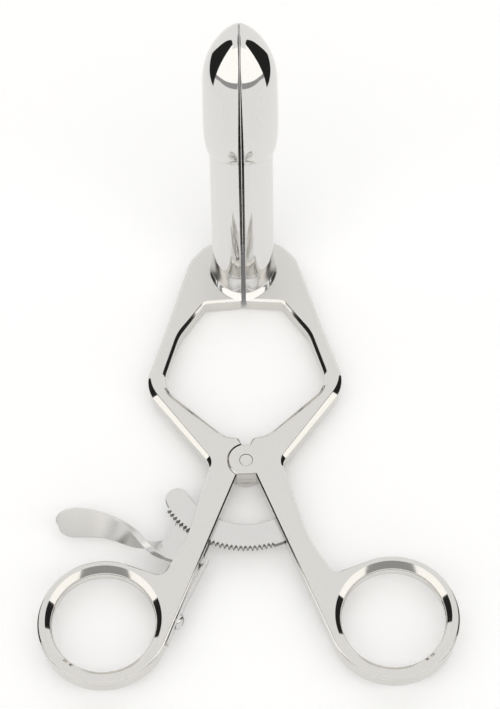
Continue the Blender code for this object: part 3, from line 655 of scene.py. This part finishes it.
def flare(side):
    """A waisted plug: it leaves the ring's hole flared at both faces, most on the side by the joint."""
    sides = 120
    step = 360 // sides
    centre = (RING_CENTRE.x * side, RING_CENTRE.y)
    shape = bmesh.new()
    rows = []
    for level, turn in ((LEVER_HIGH, -1), (LEVER_LOW, 1)):
        band = []
        for along, out in FLARE_PROFILE:
            row = []
            for i in range(sides):
                wide = RING_FLARE * (1 + RING_FLARE_LEAN * math.sin(math.radians(step * i)))
                x, y = polar(RING_INNER + wide * (1 - along + out), step * i, centre)
                z = level + turn * RING_FLARE_SLOPE * wide * along
                row.append(shape.verts.new(Vector((x, y, z)) * MM))
            band.append(row)
        rows += band if turn < 0 else band[::-1]
    for upper, under in zip(rows, rows[1:]):
        for i in range(sides):
            shape.faces.new((upper[i - 1], under[i - 1], under[i], upper[i]))
    shape.faces.new(rows[0])
    shape.faces.new(rows[-1][::-1])
    return new_object("ring_hole", shape)


def foot_hole():
    """The oval hole through both plates that the blades' feet stand in."""
    sides = 128
    oval = []
    for i in range(sides):
        turn = 2 * math.pi * (i + 0.5) / sides
        x = FOOT_HOLE * math.cos(turn) + math.copysign(SPLIT_HALF, math.cos(turn))
        oval.append((x, FOOT_Y + math.sin(turn) * FOOT_HOLE_LONG))
    return new_object("foot_hole", slab(oval, LEVER_LOW - FOOT_DROP - 2, LEVER_HIGH - FOOT_DROP + 3))


def block(name, centre, size):
    shape = bmesh.new()
    bmesh.ops.create_cube(shape, size=1.0)
    bmesh.ops.scale(shape, vec=Vector(size) * MM, verts=shape.verts)
    bmesh.ops.translate(shape, vec=Vector(centre) * MM, verts=shape.verts)
    return new_object(name, shape)


LAP_BELOW_MIDDLE = 0.9
LAP_LEVEL = (LEVER_LOW + LEVER_HIGH) / 2 - LAP_BELOW_MIDDLE
PIVOT_HOLE = 2.18
PAST_FACE = 2
LEVER_CREASE = 24
SLIVER = 0.000004
slot_low = RACK_LOW - SLOT_GAP
slot_high = RACK_HIGH + SLOT_GAP
pawl_room = (PAWL_ROOM_WIDE, PAWL_ROOM_LONG, slot_high - slot_low)
pawl_room_at = (PIN_PLACE.x + PAWL_ROOM_MIDDLE[0], PIN_PLACE.y + PAWL_ROOM_MIDDLE[1], PAWL_ROOM_LEVEL)
left_slot = (RACK_INSIDE - LEFT_SLOT_INSIDE, RACK_TIPS + LEFT_SLOT_OUTSIDE)
left_slot_ends = [end - wall_at for end in LEFT_SLOT_ENDS]
root_slot = (RACK_INSIDE - SLOT_GAP, RACK_TIPS + SLOT_GAP)
root_slot_ends = (wall_at - ROOT_SLOT_BEFORE_WALL, ROOT_SLOT_END)
left_cuts = [
    flare(-1),
    drum("lap", LAP_RADIUS + LAP_GAP, (0, 0), LAP_LEVEL, LEVER_HIGH + PAST_FACE),
    drum("pivot_hole", PIVOT_HOLE, (0, 0), 0, LEVER_HIGH + PAST_FACE),
    sector("rack_slot", *left_slot, *left_slot_ends, slot_low, slot_high),
    block("pawl_slot", pawl_room_at, pawl_room),
    foot_hole(),
]
right_cuts = [
    flare(1),
    drum("lap", LAP_RADIUS + LAP_GAP, (0, 0), LEVER_LOW - PAST_FACE, LAP_LEVEL + LAP_GAP),
    drum("pivot_hole", PIVOT_HOLE, (0, 0), 0, LEVER_HIGH + PAST_FACE),
    sector("rack_slot", *root_slot, *root_slot_ends, slot_low, slot_high),
    foot_hole(),
]


def creased(obj, degrees):
    """Smooth all over, apart from the edges that turn by more than this."""
    obj.data.shade_smooth()
    obj.data.set_sharp_from_angle(angle=math.radians(degrees))


def even_faces(obj):
    """Lets the large faces shade flat right up to their rounded borders."""
    weighted = obj.modifiers.new("even_faces", "WEIGHTED_NORMAL")
    weighted.weight = 80
    weighted.keep_sharp = True


def made_of(obj, material):
    obj.data.materials.clear()
    obj.data.materials.append(material)


lever_steel = steel("lever_steel", tone=(0.703, 0.689, 0.66), satin=0.3, polish=0.07)
for name, side, cuts, body in (
    ("left_lever", -1, left_cuts, "left_side"),
    ("right_lever", 1, right_cuts, "right_side"),
):
    lever = cut_away(forged("ground_" + name, side), cuts)
    cleaned = bmesh.new()
    cleaned.from_mesh(lever.data)
    bmesh.ops.dissolve_degenerate(cleaned, dist=SLIVER, edges=cleaned.edges)
    cleaned.to_mesh(lever.data)
    cleaned.free()
    creased(lever, LEVER_CREASE)
    even_faces(lever)
    made_of(lever, lever_steel)
    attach(lever, body)
    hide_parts(name)


# Blades: two half-round shells of thin steel sheet, closed into a bullet nose and polished like a mirror.
# Each stands at sixty-five degrees on its foot plate, brazed in, with a shield-shaped rim round its foot.
PLATE_TOP = 6.4
HEAD_RADIUS = 11.85
SHEET = 1.3
BLADE_LONG = 92.6
SHOULDER_AT = 47.0
SHOULDER_RUN = 13.0
NOSE_RUN = 20.0
NOSE_POWER = 0.7
NOSE_WALL = 1.6 * SHEET
REAR_HALF_GAP = 0.06
GAP_WIDENS = 0.2
GAP_CLOSES = 0.05
LIP_ROUND = 0.42
LIP_STEPS = 5
RIM_LIFT = 0.1
RIM_BREAK = 0.06
RIM_OUT = 1.05
RIM_FRONT_OUT = 1.5
RIM_HIGH = 1.5
RIM_SHIELD = 1.66
FLARE_SHIELD = 1.72
FLARE_OUT = 0.5
FLARE_HIGH = 5.0
FLARE_END = 19.0
BLADE_CREASE = 42
rise_sin = math.sin(BLADE_RISE)
rise_cos = math.cos(BLADE_RISE)


def blade_radius(along):
    """The shell's outer radius: neck, stepped shoulder, head and pointed nose."""
    step = min(1.0, max(0.0, (along - SHOULDER_AT) / SHOULDER_RUN))
    radius = NECK_RADIUS + (HEAD_RADIUS - NECK_RADIUS) * math.sin(math.pi / 2 * math.sqrt(step))
    into_nose = (along - (BLADE_LONG - NOSE_RUN)) / NOSE_RUN
    if into_nose > 0:
        radius *= max(0.0, 1 - into_nose**2) ** NOSE_POWER
    return radius


def half_gap(along, angle):
    """Half of the split: it widens a little up the neck, closes toward the nose and is fine at the rear."""
    front = SPLIT_HALF + GAP_WIDENS * ease(along / SHOULDER_AT)
    front -= (SPLIT_HALF + GAP_CLOSES) * ease((along - SHOULDER_AT) / (BLADE_LONG - SHOULDER_AT))
    return REAR_HALF_GAP + (front - REAR_HALF_GAP) * (1 - math.sin(angle)) / 2


def foot_point(angle, z, radius, out, front_out, power):
    """A point of the foot at a level. A power under 2 makes the oval more like a shield."""
    across = math.cos(angle)
    along = math.sin(angle)
    x = half_gap(0, angle) + (radius + out) * abs(across) ** (2 / power)
    reach = (radius / rise_sin + front_out) * math.copysign(abs(along) ** (2 / power), along)
    lift = max(0.0, z - PLATE_TOP)
    return Vector((x, FOOT_Y + lift * rise_cos / rise_sin + reach, z))


def shaft_point(angle, along, radius):
    """A point of the shaft, square to its axis, this far along it."""
    x = half_gap(along, angle) + radius * math.cos(angle)
    y = FOOT_Y + along * rise_cos + radius * math.sin(angle) * rise_sin
    z = PLATE_TOP + along * rise_sin - radius * math.sin(angle) * rise_cos
    return Vector((x, y, z))


def foot_rows(angles):
    """Rows from the spigot under the plate, over the rim and up the flare, outside and inside."""
    bore = NECK_RADIUS - SHEET
    base = PLATE_TOP + RIM_LIFT
    top = base + RIM_HIGH
    outside = []
    inside = []

    def both(z, out, front_out, power, bore_z, bore_power=2.0):
        outside.append([foot_point(a, z, NECK_RADIUS, out, front_out, power) for a in angles])
        inside.append([foot_point(a, bore_z, bore, 0, 0, bore_power) for a in angles])

    both(0, 0, 0, 2, 0)
    both(base, 0, 0, 2, base - 0.6)
    both(base, RIM_OUT - RIM_BREAK, RIM_FRONT_OUT - RIM_BREAK, RIM_SHIELD, base - 0.5)
    both(base + RIM_BREAK, RIM_OUT, RIM_FRONT_OUT, RIM_SHIELD, base - 0.4)
    slopes = 6
    for i in range(1, slopes):
        t = i / slopes
        out = RIM_OUT + (FLARE_OUT + 0.1 - RIM_OUT) * t
        front_out = RIM_FRONT_OUT + (0.12 - RIM_FRONT_OUT) * t
        power = RIM_SHIELD + (FLARE_SHIELD - RIM_SHIELD) * t
        both(base + RIM_BREAK + (RIM_HIGH - 0.26) * t, out, front_out, power, base - 0.4 + 0.7 * t)
    both(top - 0.16, FLARE_OUT + 0.1, 0.12, FLARE_SHIELD, base + 0.5)
    both(top - RIM_BREAK, FLARE_OUT + 0.05, 0.06, FLARE_SHIELD, base + 0.7)
    steps = 24
    for i in range(steps + 1):
        t = i / steps
        z = top + FLARE_HIGH * t
        power = FLARE_SHIELD + (2 - FLARE_SHIELD) * ease(t)
        out = FLARE_OUT * (1 - t) ** 2
        both(z, out, out - FLARE_OUT * (1 - t), power, z, (power + 2) / 2)
    return outside, inside


def shaft_rows(angles):
    """Rows from the flare to near the tip, closer where the shell turns quickly."""
    bore = NECK_RADIUS - SHEET
    flare_top = PLATE_TOP + RIM_LIFT + RIM_HIGH + FLARE_HIGH
    outside = []
    inside = []
    flare_steps, neck_steps, shoulder_steps, head_steps, nose_steps = 12, 14, 26, 8, 40
    for k in range(1, flare_steps + 1):
        for rows, radius in ((outside, NECK_RADIUS), (inside, bore)):
            row = []
            for a in angles:
                start = (flare_top - PLATE_TOP + radius * math.sin(a) * rise_cos) / rise_sin
                row.append(shaft_point(a, start + (FLARE_END - start) * k / flare_steps, radius))
            rows.append(row)
    nose_at = BLADE_LONG - NOSE_RUN
    head_run = nose_at - SHOULDER_AT - SHOULDER_RUN
    stations = [FLARE_END + (SHOULDER_AT - FLARE_END) * k / neck_steps for k in range(1, neck_steps + 1)]
    stations += [SHOULDER_AT + SHOULDER_RUN * (k / shoulder_steps) ** 2 for k in range(1, shoulder_steps + 1)]
    stations += [SHOULDER_AT + SHOULDER_RUN + head_run * k / head_steps for k in range(1, head_steps + 1)]
    stations += [nose_at + NOSE_RUN * math.sin(math.pi / 2 * k / nose_steps) for k in range(1, nose_steps)]
    for along in stations:
        outside.append([shaft_point(a, along, blade_radius(along)) for a in angles])
        past = max(0.0, along - nose_at)
        bored = min(along, nose_at) + past * (NOSE_RUN - NOSE_WALL) / NOSE_RUN
        radius = blade_radius(along)
        radius = radius - SHEET if along < nose_at else radius * (HEAD_RADIUS - SHEET) / HEAD_RADIUS
        inside.append([shaft_point(a, bored, radius) for a in angles])
    return outside, inside


def lip(outer_end, inner_end):
    """Points over one lip, from outside to inside: both corners of the sheet's edge are rounded."""
    sheet = (inner_end - outer_end).length
    corner = min(LIP_ROUND, 0.45 * sheet)
    split_x = min(outer_end.x, inner_end.x)
    points = []
    for k in range(1, LIP_STEPS + 1):
        turn = math.radians(90 * k / LIP_STEPS)
        deep = corner * (1 - math.cos(turn)) / sheet
        points.append(Vector((split_x + corner * (1 - math.sin(turn)), *outer_end.lerp(inner_end, deep).yz)))
    for k in range(LIP_STEPS):
        turn = math.radians(90 * k / LIP_STEPS)
        deep = 1 - corner * (1 - math.sin(turn)) / sheet
        points.append(Vector((split_x + corner * (1 - math.cos(turn)), *outer_end.lerp(inner_end, deep).yz)))
    return points, corner


def blade(name, side):
    """One half shell, from the spigot in its plate to the tip, with both lips and the tip closed."""
    around = 56
    angles = [math.radians(-90 + 180 * i / around) for i in range(around + 1)]
    outside, inside = foot_rows(angles)
    more_outside, more_inside = shaft_rows(angles)
    outside += more_outside
    inside += more_inside
    shell = bmesh.new()

    def vert(point):
        return shell.verts.new((point.x * side * MM, point.y * MM, point.z * MM))

    loops = []
    for row_out, row_in in zip(outside, inside):
        front, _ = lip(row_out[0], row_in[0])
        rear, corner = lip(row_out[-1], row_in[-1])
        for row in (row_out, row_in):
            for i, point in enumerate(row):
                end = row[0] if i < around / 2 else row[-1]
                if point is not end:
                    point.x = max(point.x, end.x + corner)
            row[0].x += corner
            row[-1].x += corner
        loops.append([vert(p) for p in row_out + rear + row_in[::-1] + front[::-1]])
    for low, high in zip(loops, loops[1:]):
        for i in range(len(low)):
            j = (i + 1) % len(low)
            shell.faces.new((low[i], low[j], high[j], high[i]))
    shell.faces.new(loops[0][::-1])
    last = loops[-1]
    count = len(angles)
    edge = 2 * LIP_STEPS
    tip_out = vert(shaft_point(0, BLADE_LONG, 0.0))
    tip_in = vert(shaft_point(0, BLADE_LONG - NOSE_WALL, 0.0))
    outer = last[:count]
    rear = last[count - 1 : count + edge + 1]
    inner = last[count + edge : 2 * count + edge]
    front = last[2 * count + edge - 1 :] + last[:1]
    for strip, tip in ((outer, tip_out), (inner, tip_in)):
        for a, b in zip(strip, strip[1:]):
            shell.faces.new((a, b, tip))
    for strip, near, far in ((rear, tip_out, tip_in), (front, tip_in, tip_out)):
        half = len(strip) // 2
        for a, b in zip(strip[: half + 1], strip[1 : half + 1]):
            shell.faces.new((a, b, near))
        shell.faces.new((strip[half], far, near))
        for a, b in zip(strip[half:], strip[half + 1 :]):
            shell.faces.new((a, b, far))
    piece = new_object(name, shell)
    creased(piece, BLADE_CREASE)
    return piece


blade_steel = steel("blade_steel", tone=(0.725, 0.718, 0.7), satin=0.06, polish=0.05, ripple=0.00001)
for name, side, body in (("left_blade", -1, "left_side"), ("right_blade", 1, "right_side")):
    shell = blade("polished_" + name, side)
    made_of(shell, blade_steel)
    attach(shell, body)
    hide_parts(name)


# Joint and ratchet: the steel pivot pin, the toothed rack with its rivet, and the release lever's pin.
# They are plainer than the levers and satin, and the walls of the rack's sawn teeth get painted shade: a
# darker colour in place of the dark that they mirror.
WELD_WITHIN = 0.000005


def smooth_edges(node, angle):
    weld = node.modifiers.new("weld", "WELD")
    weld.merge_threshold = WELD_WITHIN
    for face in node.data.polygons:
        face.use_smooth = True
    split = node.modifiers.new("crisp_edges", "EDGE_SPLIT")
    split.split_angle = math.radians(angle)
    even_faces(node)


def dressed(name, material, angle=40):
    """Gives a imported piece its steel, and shades its round faces smooth."""
    node = nodes[name]
    made_of(node, material)
    smooth_edges(node, angle)


# Painted shade: the rack's steep walls are darkened to under a third of its tone.
rack_steel = steel("rack_steel", tone=(0.7, 0.69, 0.675), satin=0.33, polish=0.2, painted_wall_shade=0.3)
pin_steel = steel("pin_steel", tone=(0.703, 0.689, 0.66), satin=0.3, polish=0.1)
dressed("pivot_pin", lever_steel)
dressed("ratchet_rack", rack_steel, 30)
dressed("rack_rivet", pin_steel)
dressed("release_pin", pin_steel)


# Release lever: a flat steel pawl on its own pin. Its neck is twisted over so far that the front edge
# comes up and round to the back of the thumb tab, where it is serrated for grip.
PAWL_LOW = 5.2
PAWL_HIGH = 7.6
TOOTH_PITCH = 1.5
TOOTH_STEP = math.degrees(TOOTH_PITCH / RACK_TIPS)
FIRST_TOOTH = -58.7
PAWL_TEETH = 3
PAWL_AHEAD = 10.05
PAWL_BOSS = 2.9
PAWL_LIFT = 6.2
PAWL_PLAY = 0.08
PAWL_TOOTH = ((-0.4, 0.15), (-0.06, -0.8), (0.06, -0.8), (0.4, 0.15))
PAWL_NECK = ((2.3, 2.9),)
PAWL_HEEL = ((3.1, -2.0), (2.9, -3.2), (2.1, -3.5))
PAWL_TAIL = ((-6.2, -2.0), (-9.2, -1.0), (-10.2, 4.1), (-8.2, 6.0), (-7.2, 8.0))
PIN_HOLE = 1.28
TAB_REACH = 43.4
TAB_WIDE = 9.4
TAB_THICK = 2.4
TAB_SOFT = 0.22
TAB_TWIST = 145.0
TAB_END = (-0.857, 0.281)
TAB_END_RUN = 0.143
TAB_SERRATION = 0.16
SERRATED = (-0.93, -0.68)
RELEASE_CREASE = 38


def pawl_outline():
    """The pawl from above: its teeth in mesh with the rack's and then lifted, its boss, heel and tail."""
    pin_turn = math.degrees(math.atan2(PIN_PLACE.y, PIN_PLACE.x)) + 90
    ahead = pin_turn - math.degrees(PAWL_AHEAD / RACK_TIPS)
    first = FIRST_TOOTH + round((ahead - FIRST_TOOTH) / TOOTH_STEP) * TOOTH_STEP
    teeth = []
    for i in range(PAWL_TEETH):
        space = first + (i + PAWL_PLAY) * TOOTH_STEP - 90
        for t, out in PAWL_TOOTH:
            teeth.append(polar(RACK_TIPS + out, space + t * TOOTH_STEP))
    teeth.append(polar(RACK_TIPS + 0.35, first + (PAWL_TEETH + 0.6) * TOOTH_STEP - 90))
    lift = Matrix.Rotation(math.radians(PAWL_LIFT), 2)
    outline = [lift @ (point - PIN_PLACE) for point in teeth]
    outline += [Vector(point) for point in PAWL_NECK]
    outline += arc((0, 0), PAWL_BOSS, 40, -5)
    outline += [Vector(point) for point in PAWL_HEEL]
    outline += arc((0, 0), PAWL_BOSS, -62, -110)
    outline += [Vector(point) for point in PAWL_TAIL]
    return [point + PIN_PLACE for point in outline]


def tab_course():
    """Along the tab: x, y as shares of its reach, then shares of its width, thickness and twist."""
    marks = [
        (-0.150, 0.040, 0.66, 0.94, 0.0),
        (-0.200, 0.048, 0.66, 0.94, 0.03),
        (-0.250, 0.057, 0.64, 0.96, 0.17),
        (-0.300, 0.074, 0.60, 1.0, 0.33),
        (-0.350, 0.098, 0.60, 1.0, 0.50),
        (-0.410, 0.129, 0.62, 1.0, 0.69),
        (-0.480, 0.168, 0.66, 1.0, 0.86),
        (-0.560, 0.212, 0.72, 1.0, 0.95),
        (-0.650, 0.249, 0.81, 1.0, 1.0),
        (-0.753, 0.272, 0.94, 1.0, 1.0),
        (*TAB_END, 1.0, 0.98, 1.0),
    ]
    course = []
    for i in range(len(marks) - 1):
        a, b, c, d = (Vector(marks[min(max(i + k, 0), len(marks) - 1)]) for k in (-1, 0, 1, 2))
        for k in range(12):
            t = k / 12
            square = (2 * a - 5 * b + 4 * c - d) * t**2
            cube = (3 * b - a - 3 * c + d) * t**3
            course.append((2 * b + (c - a) * t + square + cube) / 2)
    for k in range(13):
        turn = math.radians(84 * k / 12)
        x = TAB_END[0] - TAB_END_RUN * math.sin(turn)
        y = TAB_END[1] - 0.01 * (k / 12) ** 2
        thick = 0.98 - 0.45 * (k / 12) ** 3
        course.append(Vector((x, y, math.cos(turn) ** 0.7, thick, 1)))
    return course


def thumb_tab(name):
    """A ribbon with rounded corners along the course, twisted about it and serrated near its end."""
    course = tab_course()
    middle = (PAWL_LOW + PAWL_HIGH) / 2
    shape = bmesh.new()
    rings = []
    for i, (x, y, width, thick, twist) in enumerate(course):
        run = (course[min(i + 1, len(course) - 1)] - course[max(i - 1, 0)])[:2]
        run = Vector((*run, 0)).normalized()
        lean = Matrix.Rotation(math.radians(TAB_TWIST * twist), 3, run)
        wide = lean @ Vector((run.y, -run.x, 0))
        deep = run.cross(wide)
        centre = Vector((PIN_PLACE.x + x * TAB_REACH, PIN_PLACE.y + y * TAB_REACH, middle))
        half_wide = width * TAB_WIDE / 2
        half_thick = thick * TAB_THICK / 2
        soft = min(TAB_SOFT, 0.6 * half_wide)
        notch = TAB_SERRATION * (i % 2) if SERRATED[0] < x < SERRATED[1] else 0
        ring = []
        for quarter in range(4):
            corner_x = (half_wide - soft) * (1 if quarter in (0, 3) else -1)
            corner_y = (half_thick - soft) * (1 if quarter < 2 else -1)
            if corner_x < 0:
                corner_x += notch
            for u, v in arc((corner_x, corner_y), soft, 90 * quarter, 90 * quarter + 90, 30):
                ring.append(shape.verts.new((centre + wide * u + deep * v) * MM))
        rings.append(ring)
    for low, high in zip(rings, rings[1:]):
        for i in range(len(low)):
            shape.faces.new((low[i - 1], low[i], high[i], high[i - 1]))
    shape.faces.new(rings[0])
    shape.faces.new(rings[-1][::-1])
    return new_object(name, shape)


# Painted shade: the release lever's steep walls, its pawl's teeth among them, are darkened in colour.
release_steel = steel("release_steel", tone=(0.69, 0.68, 0.665), satin=0.33, polish=0.3, painted_wall_shade=0.75)
pawl = new_object("twisted_release", slab(pawl_outline(), PAWL_LOW, PAWL_HIGH))
union = pawl.modifiers.new("tab", "BOOLEAN")
union.operation = "UNION"
union.solver = "EXACT"
tab = thumb_tab("tab")
union.object = tab
release_mesh = settled(pawl)
bpy.data.objects.remove(tab, do_unlink=True)
pawl = bpy.data.objects.new("twisted_release", release_mesh)
scene.collection.objects.link(pawl)
release = cut_away(pawl, [drum("pin_hole", PIN_HOLE, PIN_PLACE, PAWL_LOW - 1, PAWL_HIGH + 1, 48)])
creased(release, RELEASE_CREASE)
even_faces(release)
made_of(release, release_steel)
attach(release, "release")
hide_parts("release_lever")


# Spring and its screw: a bent strip of spring steel, bright from rolling, held to the left handle's
# inner wall by a slotted screw.
spring_steel = steel("spring_steel", tone=(0.66, 0.655, 0.645), satin=0.16, polish=0.1)
dressed("leaf_spring", spring_steel)
dressed("leaf_spring_screw", spring_steel)
